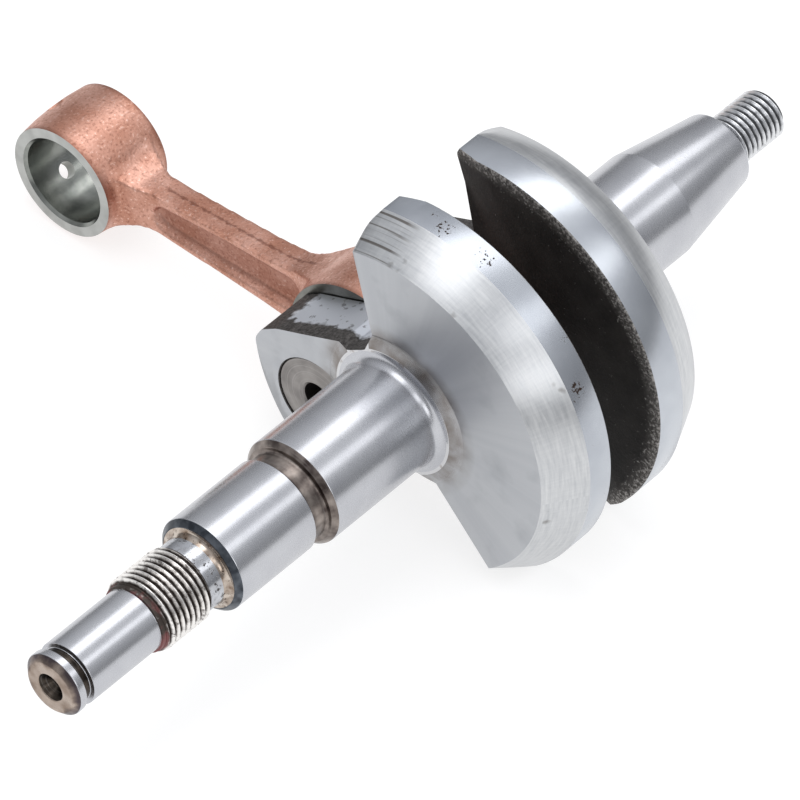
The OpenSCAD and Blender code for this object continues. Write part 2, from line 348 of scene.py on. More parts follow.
def web(name, face_x, inward, cone_r, rim_w):
    """One web, from its outer face at face_x and its direction along X."""
    def station(depth):
        return face_x + inward * depth

    forging = plate(
        name,
        [crank_point(station(0), a, b) for a, b in web_outline()],
        Vector((inward * counterweight_t * MM, 0, 0)),
    )
    turned_shape = lathe(name + "_turned", [
        (station(0), 0),
        (station(0), cone_r),
        (station(counterweight_t - rim_w), counterweight_r),
        (station(counterweight_t - 0.2), counterweight_r),
        (station(counterweight_t), counterweight_r - 0.2),
        (station(counterweight_t), 0),
    ], steps=240)
    combine(forging, turned_shape, "INTERSECT")
    relief = plate(
        name + "_relief",
        [
            crank_point(station(depth), towards, -40)
            for depth, towards in [
                (counterweight_t + 1.01, -16),
                (lobe_t - 0.6, -4.5),
                (lobe_t, -1.6),
                (lobe_t, 40),
                (counterweight_t + 5, 40),
                (counterweight_t + 5, -16),
            ]
        ],
        crank_point(0, 0, 80),
    )
    combine(forging, relief, "DIFFERENCE")
    only(forging)
    edges = forging.modifiers.new("edges", "BEVEL")
    edges.width = 0.22 * MM
    edges.segments = 2
    edges.limit_method = "ANGLE"
    edges.angle_limit = math.radians(28)
    bpy.ops.object.modifier_apply(modifier=edges.name)
    hole = lathe(
        name + "_hole",
        [
            (station(-1), 0),
            (station(-1), pin_r + 0.12),
            (station(0), pin_r + 0.12),
            (station(0.12), pin_r),
            (station(counterweight_t + 2), pin_r),
            (station(counterweight_t + 2), 0),
        ],
        axis=Vector((0, pin.y, pin.z)),
    )
    combine(forging, hole, "DIFFERENCE")
    print(name, triangles(forging), "triangles")
    return forging


def cut_notches(piece, face_x, inward):
    """Cuts the forged notch beside the hub, which bites into the collar's foot."""
    for side in (-1, 1):
        beyond = [(8, 10.67), (8, 20), (straight_edge(20), 20)]
        notch = plate(
            "notch",
            [crank_point(face_x - inward, a, side * b) for a, b in rounded(notch_side + beyond)],
            Vector((inward * (counterweight_t + 2) * MM, 0, 0)),
        )
        combine(piece, notch, "DIFFERENCE")


# %% [markdown]
# ## Clutch side crank half
#
# From the tip: a centre drilling, a retaining ring groove, the clutch drum's
# seat, the clutch thread, a waisted neck, the seat of the seal and oil pump, a
# rough relief, and the main journal with its fillet and polished collar. All of
# it is one outline, spun about the crank axis. The thread is added to a thinner
# stretch of that shaft.

# %% Clutch side shaft
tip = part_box("crank_half_clutch")[0].x / MM
drum_r = mounts["clutch_drum_seat"]["dims"]["r_mm"]
seat_r = mounts["seal_and_pump_seat"]["dims"]["r_mm"]
clutch_thread_r = mounts["clutch_thread"]["dims"]["r_mm"]
clutch_thread_l = mounts["clutch_thread"]["dims"]["length_mm"]
clutch_thread_x = mounts["clutch_thread"]["pos_m"][0] / MM
thread_start = clutch_thread_x - clutch_thread_l / 2
thread_end = clutch_thread_x + clutch_thread_l / 2
seat_start = thread_end + 3.5
seat_end = seat_start + 15.7
journal_front = seat_end + 2.9
collar_x = clutch_face - collar_h

clutch_outline = rounded([
    (tip + 4.2, 0),
    (tip + 3.6, 1.0),
    (tip + 2.0, 1.05, 0.3),
    (tip, 2.25, 0.25),
    (tip, drum_r - 0.95, 0.3),
    (tip + 0.9, drum_r, 0.3),
    (tip + 2, drum_r, 0.12),
    (tip + 2, 4.2, 0.1),
    (tip + 3.5, 4.2, 0.1),
    (tip + 3.5, drum_r, 0.15),
    (thread_start - 0.7, drum_r, 0.15),
    (thread_start - 0.7, 5.35, 0.12),
    (thread_start + 0.5, 5.35),
    (thread_end - 0.5, 5.35),
    (thread_end, 5.5),
    (seat_start, 5.5, 1.0),
    (seat_start, seat_r - 0.85, 0.12),
    (seat_start + 0.85, seat_r, 0.3),
    (seat_end, seat_r, 0.15),
    (seat_end + 0.1, 6.9, 0.45),
    (journal_front, 6.9, 0.45),
    (journal_front, journal_r - 0.8, 0.2),
    (journal_front + 0.8, journal_r, 0.3),
    (collar_x, journal_r, collar_fillet),
    (collar_x, collar_r, 0.3),
    (clutch_face, collar_foot_r, 0.4),
    (clutch_face + lobe_t - 0.8, collar_foot_r),
    (clutch_face + lobe_t - 0.8, 0),
])
crank_half_clutch = lathe("clutch_side_crank", clutch_outline)
combine(
    crank_half_clutch,
    thread("clutch_side_thread", thread_start, thread_end, clutch_thread_r, 1.0, 0.6),
    "UNION",
)
print("clutch side shaft:", triangles(crank_half_clutch), "triangles")

# %% Clutch side web
web_clutch = web("clutch_side_web", clutch_face, 1, 26.4, 4.5)
combine(crank_half_clutch, web_clutch, "UNION")
cut_notches(crank_half_clutch, clutch_face, 1)
print("clutch side crank half:", triangles(crank_half_clutch), "triangles")

# %% [markdown]
# ## Flywheel side crank half
#
# The other half has a main journal, the flywheel's taper and a short thread for
# its nut. It is made the same way, and its web is a mirror image of the first.

# %% Flywheel side shaft and web
end_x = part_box("crank_half_flywheel")[1].x / MM
nut_thread_r = mounts["flywheel_thread"]["dims"]["r_mm"]
nut_thread_l = mounts["flywheel_thread"]["dims"]["length_mm"]
taper_end = end_x - nut_thread_l - 0.9
taper_start = taper_end - mounts["flywheel_taper"]["dims"]["length_mm"]

flywheel_outline = rounded([
    (end_x - 0.8, 0),
    (end_x - 0.8, 3.0),
    (taper_end + 0.9, 3.38),
    (taper_end, 3.38, 0.15),
    (taper_end, 6.0, 0.5),
    (taper_start, journal_r, 1.5),
    (flywheel_face + collar_h, journal_r, collar_fillet),
    (flywheel_face + collar_h, collar_r, 0.3),
    (flywheel_face, collar_foot_r, 0.4),
    (flywheel_face - lobe_t + 0.8, collar_foot_r),
    (flywheel_face - lobe_t + 0.8, 0),
])
crank_half_flywheel = lathe("flywheel_side_crank", flywheel_outline)
combine(
    crank_half_flywheel,
    thread("flywheel_side_thread", taper_end + 0.9, end_x, nut_thread_r, 1.0, 0.7),
    "UNION",
)
web_flywheel = web("flywheel_side_web", flywheel_face, -1, 27.5, 5.0)
combine(crank_half_flywheel, web_flywheel, "UNION")
cut_notches(crank_half_flywheel, flywheel_face, -1)
print("flywheel side crank half:", triangles(crank_half_flywheel), "triangles")

# %% [markdown]
# ## Crank pin
#
# The pin is a hardened tube, pressed in until its ends sit just below the webs.
# Its end faces are turned, with a chamfer outside and a softer one around the
# hole, so it is one small spun outline.

# %% Crank pin
recess = 0.2
pin_half = half_gap + counterweight_t - recess
pin_hole_r = 2.6
crank_pin = lathe(
    "crankpin",
    rounded([
        (mid - pin_half, pin_hole_r + 0.3),
        (mid - pin_half, pin_r - 0.2, 0.06),
        (mid - pin_half + 0.2, pin_r - 0.005, 0.06),
        (mid + pin_half - 0.2, pin_r - 0.005, 0.06),
        (mid + pin_half, pin_r - 0.2, 0.06),
        (mid + pin_half, pin_hole_r + 0.3),
        (mid + pin_half - 0.3, pin_hole_r),
        (mid - pin_half + 0.3, pin_hole_r),
        (mid - pin_half, pin_hole_r + 0.3),
    ], steps=3),
    axis=Vector((0, pin.y, pin.z)),
)
print("crank pin:", triangles(crank_pin), "triangles")

# %% [markdown]
# ## Connecting rod
#
# The rod is forged in one piece: two eyes and an I-beam shank whose sides run
# into the eyes in wide fillets. Forging dies round every edge. So the eyes and
# the shank are joined, remeshed into one even skin and smoothed. What is ground
# or drilled afterwards stays crisp: the side faces, both bores with their
# chamfers, and the two oil holes of the small end.

# %% Connecting rod's forging
big_end_r = 13.7
small_end_r = 9.5
small_bore_r = mounts["small_end_bore"]["dims"]["r_mm"]
race_r = 10.02
rod_half_w = 6.2


def eye(name, along, radius):
    """A forged barrel around one end of the rod, left too wide for grinding."""
    half = rod_half_w + 0.8
    return lathe(
        name,
        [
            (mid - half, 0),
            (mid - half, radius - 0.5),
            (mid - 3.0, radius - 0.08),
            (mid, radius),
            (mid + 3.0, radius - 0.08),
            (mid + half, radius - 0.5),
            (mid + half, 0),
        ],
        axis=Vector((0, *rod_point(0, along).yz)),
    )


def shank_side(side):
    """One side of the shank seen along X, from the big end to the small end."""
    return [
        (6.0, side * 11.4),
        (10.8, side * 8.4),
        (13.8, side * 6.4),
        (17.0, side * 5.05),
        (22.0, side * 4.45),
        (32.0, side * 3.95),
        (41.0, side * 3.55),
        (45.5, side * 3.7),
        (48.2, side * 4.6),
        (50.5, side * 6.4),
    ]


shank = plate(
    "shank",
    [rod_point(mid - 7, a, b) for a, b in shank_side(1) + shank_side(-1)[::-1]],
    Vector((14 * MM, 0, 0)),
)
shank_profile = rounded([
    (5.0, 5.4),
    (11.0, 4.6, 2.0),
    (15.5, 2.55, 5.0),
    (43.5, 2.45, 4.0),
    (48.5, 4.4, 2.0),
    (54.0, 5.0),
    (54.0, -5.0),
    (48.5, -4.4, 2.0),
    (43.5, -2.45, 4.0),
    (15.5, -2.55, 5.0),
    (11.0, -4.6, 2.0),
    (5.0, -5.4),
])
shank_side_view = plate(
    "shank_side_view",
    [rod_point(mid + x, along, -14) for along, x in shank_profile],
    rod_point(0, 0, 14) - rod_point(0, 0, -14),
)
combine(shank, shank_side_view, "INTERSECT")
print("shank:", triangles(shank), "triangles")

# %% Pockets of the I-beam
pocket_depth = 1.45


def pocket(name, side):
    """A cutter for one pocket, whose walls lean outwards as a die's draft does."""
    face = mid + side * 2.5
    big_x, big_w, small_x, small_w = 17.8, 3.3, 40.2, 2.5
    ends = [(90 + 180 * k / 12, big_x, big_w) for k in range(13)]
    ends += [(-90 + 180 * k / 12, small_x, small_w) for k in range(13)]
    outline = [
        (x + w * math.cos(math.radians(a)), w * math.sin(math.radians(a)))
        for a, x, w in ends
    ]
    floor_x = face - side * pocket_depth
    cutter = chain(name, [rod_point(floor_x, a, b * 0.68) for a, b in outline])
    bpy.ops.mesh.edge_face_add()
    bpy.ops.mesh.extrude_region_move(
        TRANSFORM_OT_translate={"value": (side * (pocket_depth + 0.8) * MM, 0, 0)}
    )
    bpy.ops.transform.resize(
        value=(1, 1.05, 1.75),
        center_override=rod_point(floor_x, 29),
    )
    bpy.ops.mesh.select_all(action="SELECT")
    bpy.ops.mesh.normals_make_consistent(inside=False)
    bpy.ops.object.mode_set(mode="OBJECT")
    return cutter


for side in (-1, 1):
    combine(shank, pocket("pocket", side), "DIFFERENCE")
print("shank with pockets:", triangles(shank), "triangles")

# %% Join, remesh and smooth the forging
connecting_rod = eye("rod_forging", 0, big_end_r)
combine(connecting_rod, eye("small_eye", rod_length, small_end_r), "UNION")
combine(connecting_rod, shank, "UNION")
only(connecting_rod)
skin = connecting_rod.modifiers.new("skin", "REMESH")
skin.mode = "VOXEL"
skin.voxel_size = 0.36 * MM
bpy.ops.object.modifier_apply(modifier=skin.name)
soften = connecting_rod.modifiers.new("soften", "SMOOTH")
soften.factor = 0.5
soften.iterations = 7
bpy.ops.object.modifier_apply(modifier=soften.name)
print("rod forging:", triangles(connecting_rod), "triangles")


# %% Grind the side faces, bore the eyes and drill the oil holes
def bore(name, along, radius, chamfer):
    """A cutter for one bore with a chamfer at each side face."""
    far = rod_half_w + 1
    return lathe(
        name,
        [
            (mid - far, 0),
            (mid - far, radius + chamfer),
            (mid - rod_half_w, radius + chamfer),
            (mid - rod_half_w + chamfer, radius),
            (mid + rod_half_w - chamfer, radius),
            (mid + rod_half_w, radius + chamfer),
            (mid + far, radius + chamfer),
            (mid + far, 0),
        ],
        axis=Vector((0, *rod_point(0, along).yz)),
    )


slab = plate(
    "slab",
    [rod_point(mid - rod_half_w, a, b) for a, b in [(-20, -20), (80, -20), (80, 20), (-20, 20)]],
    Vector((2 * rod_half_w * MM, 0, 0)),
)
combine(connecting_rod, slab, "INTERSECT")
combine(connecting_rod, bore("big_bore", 0, race_r, 0.35), "DIFFERENCE")
combine(connecting_rod, bore("small_bore", rod_length, small_bore_r, 0.45), "DIFFERENCE")
for turn in (-45, 45):
    direction = rod_point(0, math.cos(math.radians(turn)), math.sin(math.radians(turn))) - rod_point(0)
    oil_hole = lathe("oil_hole", [(3, 0), (3, 1.3), (8.9, 1.3), (9.9, 2.0), (12, 2.0), (12, 0)], steps=40)
    oil_hole.rotation_mode = "QUATERNION"
    oil_hole.rotation_quaternion = Vector((1, 0, 0)).rotation_difference(direction)
    oil_hole.location = small_end
    only(oil_hole)
    bpy.ops.object.transform_apply()
    combine(connecting_rod, oil_hole, "DIFFERENCE")
print("connecting rod:", triangles(connecting_rod), "triangles")

# %% [markdown]
# ## Finishes
#
# Every piece is bare or plated steel, so the finishes differ in how the surface
# was made. Colours are given as sRGB hex values and turned to linear by one
# function. Patterns are worked out from sizes in millimetres, on Object
# coordinates, which here are the crank's own frame. One node turns those to
# millimetres, so a noise scale of 1 / 6 gives grains of 6 mm. A pattern that is
# longer along one axis than another has a Mapping node with one scale for each.


# %% Helpers for materials
def linear(hex_colour):
    """Linear RGBA from an sRGB hex value."""
    parts = [int(hex_colour[i:i + 2], 16) / 255 for i in (1, 3, 5)]
    return (*[c / 12.92 if c <= 0.04045 else ((c + 0.055) / 1.055) ** 2.4 for c in parts], 1)


def feed(material, target, inputs):
    """Sets a node's inputs, each from a value, a hex colour, a socket or a node's first usable output."""
    for name, value in inputs.items():
        if isinstance(value, bpy.types.Node):
            value = next(output for output in value.outputs if output.enabled)
        if isinstance(value, bpy.types.NodeSocket):
            material.node_tree.links.new(value, target.inputs[name])
        else:
            target.inputs[name].default_value = linear(value) if isinstance(value, str) else value


def node(material, kind, inputs, **settings):
    """Adds one shader node with its settings, its values and its links."""
    made = material.node_tree.nodes.new("ShaderNode" + kind)
    for name, value in settings.items():
        setattr(made, name, value)
    feed(material, made, inputs)
    return made


def steel(name, roughness):
    """A new metal material, with its shader and its Object coordinates in mm."""
    material = bpy.data.materials.new(name)
    material.use_nodes = True
    shader = material.node_tree.nodes["Principled BSDF"]
    shader.inputs["Metallic"].default_value = 1
    shader.inputs["Roughness"].default_value = roughness
    metres = node(material, "TexCoord", {}).outputs["Object"]
    place = node(material, "VectorMath", {0: metres, "Scale": 1 / MM}, operation="SCALE")
    return material, shader, place


def polar(material, place):
    """The place along each axis, and the radius and the angle in radians about the X axis."""
    axes = node(material, "SeparateXYZ", {0: place})
    flat = node(material, "CombineXYZ", {"Y": axes.outputs["Y"], "Z": axes.outputs["Z"]})
    radius = node(material, "VectorMath", {0: flat}, operation="LENGTH")
    angle = node(material, "Math", {0: axes.outputs["Z"], 1: axes.outputs["Y"]}, operation="ARCTAN2")
    return axes, radius, angle


def from_middle(material, axes):
    """Distance from the plane midway between the webs."""
    offset = node(material, "Math", {0: axes.outputs["X"], 1: mid}, operation="SUBTRACT")
    return node(material, "Math", {0: offset}, operation="ABSOLUTE")


# %% [markdown]
# ### Ground steel
#
# Journals, seats and the taper are cylindrically ground. The wheel leaves a
# satin surface with very fine rings, so the pattern is noise that is squeezed
# along X and reads as hairlines around the shaft, with a fine sparkle on it.


# %% Ground journals
def make_ground_journal():
    material, shader, place = steel("cylindrically_ground_steel", 0.3)
    # rings are drawn 0.06 mm wide, coarser than real grinding marks, so they show
    ring_w = 0.06
    ring_l = 3.6
    squeezed = node(material, "Mapping", {
        "Vector": place, "Scale": (1 / ring_w, 1 / ring_l, 1 / ring_l),
    })
    rings = node(material, "TexNoise", {"Vector": squeezed, "Scale": 1, "Detail": 3})
    sparkle = node(material, "TexNoise", {"Vector": place, "Scale": 1 / 0.16, "Detail": 2})
    cloud = node(material, "TexNoise", {"Vector": place, "Scale": 1 / 6, "Detail": 3})
    lighter = node(material, "MapRange", {"Value": cloud, "From Min": 0.3, "From Max": 0.7})
    tone = node(material, "Mix", {0: lighter, 6: "#B7B8BD", 7: "#C1C2C6"}, data_type="RGBA")
    both = node(material, "Math", {0: rings, 1: sparkle}, operation="ADD")
    rough = node(material, "MapRange", {
        "Value": both, "From Min": 0.6, "From Max": 1.4, "To Min": 0.21, "To Max": 0.31,
    })
    bump = node(material, "Bump", {"Height": both, "Distance": 0.0002 * MM})
    feed(material, shader, {"Base Color": tone, "Roughness": rough, "Normal": bump})
    return material


ground_journal = make_ground_journal()
print(ground_journal.name, len(ground_journal.node_tree.nodes), "nodes")

# %% [markdown]
# ### Turned web face
#
# The web's outer face is faced off on a lathe, so its marks are rings around the
# crank axis. Light catches them as soft radial streaks, which are painted into the
# colour as lighter and darker sheen. Rings come from the radius and streaks from
# the angle about the X axis.


# %% Turned faces
def make_turned_face():
    material, shader, place = steel("faced_steel", 0.36)
    axes, radius, angle = polar(material, place)
    groove_w = 0.12
    outwards = node(material, "CombineXYZ", {"X": radius})
    grooves = node(material, "TexNoise", {"Vector": outwards, "Scale": 1 / groove_w, "Detail": 2})
    around = node(material, "CombineXYZ", {"X": angle})
    # painted sheen: the colour turns lighter and darker with the angle about the X axis
    painted_sheen_streaks = node(material, "TexNoise", {"Vector": around, "Scale": 5, "Detail": 4, "Roughness": 0.6})
    lighter = node(material, "MapRange", {"Value": painted_sheen_streaks, "From Min": 0.35, "From Max": 0.68})
    tone = node(material, "Mix", {0: lighter, 6: "#AFB1B5", 7: "#B8BABD"}, data_type="RGBA")
    # a few grey smudges, as fingers and oil leave
    cloud = node(material, "TexNoise", {"Vector": place, "Scale": 1 / 7, "Detail": 4})
    smudge = node(material, "MapRange", {
        "Value": cloud, "From Min": 0.56, "From Max": 0.75, "To Max": 0.4,
    })
    tone = node(material, "Mix", {0: smudge, 6: tone, 7: "#8D8F94"}, data_type="RGBA")
    # brown stains close to the polished collar, where oil dries, and a painted shade band beside the collar
    near_hub = node(material, "MapRange", {
        "Value": radius, "From Min": 11.5, "From Max": 14.5, "To Min": 1, "To Max": 0,
    })
    spots = node(material, "TexNoise", {"Vector": place, "Scale": 1 / 3.5, "Detail": 4})
    spot = node(material, "MapRange", {
        "Value": spots, "From Min": 0.3, "From Max": 0.62, "To Min": 0.2, "To Max": 0.85,
    })
    dried_oil_and_shade = node(material, "Math", {0: near_hub, 1: spot}, operation="MULTIPLY")
    tone = node(material, "Mix", {0: dried_oil_and_shade, 6: tone, 7: "#6E645C"}, data_type="RGBA")
    rough = node(material, "MapRange", {"Value": near_hub, "To Min": 0.38, "To Max": 0.26})
    bump = node(material, "Bump", {"Height": grooves, "Distance": 0.004 * MM})
    feed(material, shader, {"Base Color": tone, "Roughness": rough, "Normal": bump})
    return material


turned_face = make_turned_face()
print(turned_face.name, len(turned_face.node_tree.nodes), "nodes")

# %% [markdown]
# ### Turned cone
#
# The cone around each counterweight is turned coarsely. It is the brightest
# surface: tool marks run around it, chatter crosses them, and it has a few dark
# scratches and bruises from tumbling in a box of other cranks.


# %% Turned cone
def make_turned_cone():
    material, shader, place = steel("turned_cone_steel", 0.34)
    axes, radius, angle = polar(material, place)
    around = node(material, "CombineXYZ", {"X": angle, "Y": radius})
    # tool marks 0.25 mm apart, each a few millimetres long around the cone
    tool = node(material, "Mapping", {"Vector": around, "Scale": (6, 4, 1)})
    marks = node(material, "TexNoise", {"Vector": tool, "Scale": 1, "Detail": 3, "Roughness": 0.65})
    # chatter across them, 0.4 mm apart at the rim's radius
    across = node(material, "Mapping", {"Vector": around, "Scale": (30 / 0.4, 0.5, 1)})
    chatter = node(material, "TexNoise", {"Vector": across, "Scale": 1, "Detail": 2})
    weak = node(material, "Math", {0: chatter, 1: 0.3}, operation="MULTIPLY")
    both = node(material, "Math", {0: marks, 1: weak}, operation="ADD")
    crest = node(material, "MapRange", {"Value": both, "From Min": 0.42, "From Max": 0.88})
    tone = node(material, "Mix", {0: crest, 6: "#B5B7BA", 7: "#CFD0D1"}, data_type="RGBA")
    bruises = node(material, "TexNoise", {"Vector": place, "Scale": 1 / 3.2, "Detail": 3})
    bruise = node(material, "MapRange", {
        "Value": bruises, "From Min": 0.67, "From Max": 0.76, "To Max": 0.6,
    })
    # long dark scratches beside one end of the counterweight
    lengthwise = node(material, "Mapping", {"Vector": around, "Scale": (0.8, 3, 1)})
    scratches = node(material, "TexNoise", {"Vector": lengthwise, "Scale": 1, "Detail": 1})
    scratch = node(material, "MapRange", {
        "Value": scratches, "From Min": 0.54, "From Max": 0.62, "To Max": 0.85,
    })
    start = node(material, "MapRange", {"Value": angle, "From Min": 1.17, "From Max": 1.22})
    stop = node(material, "MapRange", {
        "Value": angle, "From Min": 1.42, "From Max": 1.50, "To Min": 1, "To Max": 0,
    })
    beside_end = node(material, "Math", {0: start, 1: stop}, operation="MULTIPLY")
    cut = node(material, "Math", {0: scratch, 1: beside_end}, operation="MULTIPLY")
    either = node(material, "Math", {0: cut, 1: bruise}, operation="MAXIMUM")
    # only the clutch side's web is bruised
    clutch_side = node(material, "Math", {0: axes.outputs["X"], 1: mid}, operation="LESS_THAN")
    dark = node(material, "Math", {0: either, 1: clutch_side}, operation="MULTIPLY")
    tone = node(material, "Mix", {0: dark, 6: tone, 7: "#625C56"}, data_type="RGBA")
    rough = node(material, "MapRange", {"Value": crest, "To Min": 0.28, "To Max": 0.36})
    bump = node(material, "Bump", {"Height": both, "Distance": 0.003 * MM})
    feed(material, shader, {"Base Color": tone, "Roughness": rough, "Normal": bump})
    return material


turned_cone = make_turned_cone()
print(turned_cone.name, len(turned_cone.node_tree.nodes), "nodes")

# %% [markdown]
# ### Ground rim
#
# The counterweight's rim is ground smooth and has a cool grey tone. Small pits
# of the forging and rust specks are left in it.


# %% Ground rim
def make_ground_rim():
    material, shader, place = steel("ground_forging_skin", 0.26)
    # clusters of pits lie about 7.5 mm apart, with ragged outlines
    clusters = node(material, "TexVoronoi", {"Vector": place, "Scale": 1 / 7.5})
    ragged = node(material, "TexNoise", {"Vector": place, "Scale": 1 / 0.5, "Detail": 3})
    distance = node(material, "Math", {0: clusters, 1: ragged}, operation="SUBTRACT")
    pitted = node(material, "MapRange", {
        "Value": distance, "From Min": -0.47, "From Max": -0.40, "To Min": 1, "To Max": 0,
    })
    # only the clutch side's web has them
    axes = node(material, "SeparateXYZ", {0: place})
    clutch_side = node(material, "Math", {0: axes.outputs["X"], 1: mid}, operation="LESS_THAN")
    specks = node(material, "Math", {0: pitted, 1: clutch_side}, operation="MULTIPLY")
    cloud = node(material, "TexNoise", {"Vector": place, "Scale": 1 / 9, "Detail": 3})
    lighter = node(material, "MapRange", {"Value": cloud, "From Min": 0.35, "From Max": 0.65})
    tone = node(material, "Mix", {0: lighter, 6: "#B0B4BB", 7: "#BFC3C9"}, data_type="RGBA")
    tone = node(material, "Mix", {0: specks, 6: tone, 7: "#4A3F3A"}, data_type="RGBA")
    rough = node(material, "MapRange", {"Value": specks, "To Min": 0.26, "To Max": 0.8})
    grit = node(material, "TexNoise", {"Vector": place, "Scale": 1 / 0.2, "Detail": 2})
    bump = node(material, "Bump", {"Height": grit, "Distance": 0.003 * MM})
    feed(material, shader, {"Base Color": tone, "Roughness": rough, "Normal": bump})
    return material


ground_rim = make_ground_rim()
print(ground_rim.name, len(ground_rim.node_tree.nodes), "nodes")

# %% [markdown]
# ### Forging scale
#
# Where nothing was machined, the webs keep the black oxide of the hot forging.
# It is rough, a little warm, and gritty where it was shot-blasted, and its grains
# are painted lighter as glints, more so at the edges. Oxide is no bare metal, so this one is only partly metallic.


# %% Forging scale
def make_forging_scale():
    material, shader, place = steel("hot_forging_scale", 0.62)
    shader.inputs["Metallic"].default_value = 0.4
    shader.inputs["Specular IOR Level"].default_value = 0.3
    axes, radius, angle = polar(material, place)
    grit = node(material, "TexNoise", {
        "Vector": place, "Scale": 1 / 0.45, "Detail": 4, "Roughness": 0.7,
    })
    cloud = node(material, "TexNoise", {"Vector": place, "Scale": 1 / 5, "Detail": 4})
    lighter = node(material, "MapRange", {"Value": cloud, "From Min": 0.35, "From Max": 0.7})
    tone = node(material, "Mix", {0: lighter, 6: "#191716", 7: "#2E2B29"}, data_type="RGBA")
    # the blast took the oxide off the edges, in a soft grey border
    near_rim = node(material, "MapRange", {"Value": radius, "From Min": 27.6, "From Max": 30.6})
    coarse = node(material, "MapRange", {"Value": grit, "From Min": 0.3, "From Max": 0.6})
    worn = node(material, "Math", {0: near_rim, 1: coarse}, operation="MULTIPLY")
    tone = node(material, "Mix", {0: worn, 6: tone, 7: "#86827E"}, data_type="RGBA")
    # grains are painted lighter as glints, and more of them are at the rim
    more = node(material, "MapRange", {
        "Value": radius, "From Min": 26.5, "From Max": 30, "To Max": 0.18,
    })
    raised = node(material, "Math", {0: grit, 1: more}, operation="ADD")
    painted_glints = node(material, "MapRange", {"Value": raised, "From Min": 0.66, "From Max": 0.76})
    tone = node(material, "Mix", {0: painted_glints, 6: tone, 7: "#9A9794"}, data_type="RGBA")
    rough = node(material, "MapRange", {"Value": painted_glints, "To Min": 0.68, "To Max": 0.36})
    bump = node(material, "Bump", {"Height": grit, "Distance": 0.12 * MM})
    feed(material, shader, {"Base Color": tone, "Roughness": rough, "Normal": bump})
    return material


forging_scale = make_forging_scale()
print(forging_scale.name, len(forging_scale.node_tree.nodes), "nodes")


# %% Forged sides with a ground patch
def make_forged_side():
    material, shader, place = steel("forged_side_with_ground_patch", 0.5)
    axes, radius, angle = polar(material, place)
    grit = node(material, "TexNoise", {
        "Vector": place, "Scale": 1 / 0.5, "Detail": 4, "Roughness": 0.65,
    })
    # the grinder touched the middle of the side only, so the patch is ragged all round
    waves = node(material, "TexNoise", {"Vector": place, "Scale": 1 / 2.2, "Detail": 5})
    wander = node(material, "MapRange", {
        "Value": waves, "From Min": 0.25, "From Max": 0.75, "To Min": -0.9, "To Max": 0.9,
    })
    depth = node(material, "Math", {0: from_middle(material, axes), 1: wander}, operation="ADD")
    within_depth = node(material, "MapRange", {
        "Value": depth, "From Min": 12.7, "From Max": 13.3, "To Min": 1, "To Max": 0,
    })
    reach = node(material, "Math", {0: radius, 1: wander}, operation="ADD")
    within_reach = node(material, "MapRange", {
        "Value": reach, "From Min": 22, "From Max": 22.6, "To Min": 1, "To Max": 0,
    })
    patch = node(material, "Math", {0: within_depth, 1: within_reach}, operation="MULTIPLY")
    coarse = node(material, "MapRange", {"Value": grit, "From Min": 0.35, "From Max": 0.7})
    rough_tone = node(material, "Mix", {0: coarse, 6: "#3E3B3A", 7: "#6E6B69"}, data_type="RGBA")
    pits = node(material, "TexNoise", {"Vector": place, "Scale": 1 / 1.1, "Detail": 2})
    pit = node(material, "MapRange", {
        "Value": pits, "From Min": 0.62, "From Max": 0.68, "To Max": 0.6,
    })
    smooth_tone = node(material, "Mix", {0: pit, 6: "#D2D5DC", 7: "#5A5758"}, data_type="RGBA")
    tone = node(material, "Mix", {0: patch, 6: rough_tone, 7: smooth_tone}, data_type="RGBA")
    rough = node(material, "MapRange", {"Value": patch, "To Min": 0.6, "To Max": 0.38})
    left = node(material, "MapRange", {"Value": patch, "To Min": 1, "To Max": 0.1})
    height = node(material, "Math", {0: grit, 1: left}, operation="MULTIPLY")
    bump = node(material, "Bump", {"Height": height, "Distance": 0.1 * MM})
    feed(material, shader, {"Base Color": tone, "Roughness": rough, "Normal": bump})
    return material


forged_side = make_forged_side()
print(forged_side.name, len(forged_side.node_tree.nodes), "nodes")

# %% [markdown]
# ### Grooves, tip, collar and threads
#
# Reliefs that no part runs on are left as turned and hardened, with a dark brown
# oxide. The tip's ring groove and centre drilling are painted nearly black, as the
# shade in those recesses. The tip carries straw and brown temper colours from
# hardening. Collars and fillets are polished. The cut threads have painted
# highlights on their crests and painted shade in their roots, broken up by dirt.


# %% Dark reliefs
def make_turned_relief(name, dark, light):
    """Hardened steel as turned: dull oxide in blotches, with brighter tool marks."""
    material, shader, place = steel(name, 0.3)
    mark_w = 0.12
    mark_l = 4.8
    squeezed = node(material, "Mapping", {
        "Vector": place, "Scale": (1 / mark_w, 1 / mark_l, 1 / mark_l),
    })
    marks = node(material, "TexNoise", {"Vector": squeezed, "Scale": 1, "Detail": 3})
    cloud = node(material, "TexNoise", {"Vector": place, "Scale": 1 / 2.5, "Detail": 4})
    lighter = node(material, "MapRange", {"Value": cloud, "From Min": 0.35, "From Max": 0.7})
    tone = node(material, "Mix", {0: lighter, 6: dark, 7: light}, data_type="RGBA")
    bright = node(material, "MapRange", {
        "Value": marks, "From Min": 0.55, "From Max": 0.75, "To Max": 0.5,
    })
    tone = node(material, "Mix", {0: bright, 6: tone, 7: "#8C8784"}, data_type="RGBA")
    bump = node(material, "Bump", {"Height": marks, "Distance": 0.02 * MM})
    feed(material, shader, {"Base Color": tone, "Normal": bump})
    return material


turned_relief = make_turned_relief("hardened_as_turned_steel", "#4A413E", "#A0968F")
# nearly black tones for the tip's ring groove and centre drilling: painted shade in those recesses
relief_in_painted_shade = make_turned_relief("turned_steel_darkened_as_shade", "#1E1B19", "#4E463F")


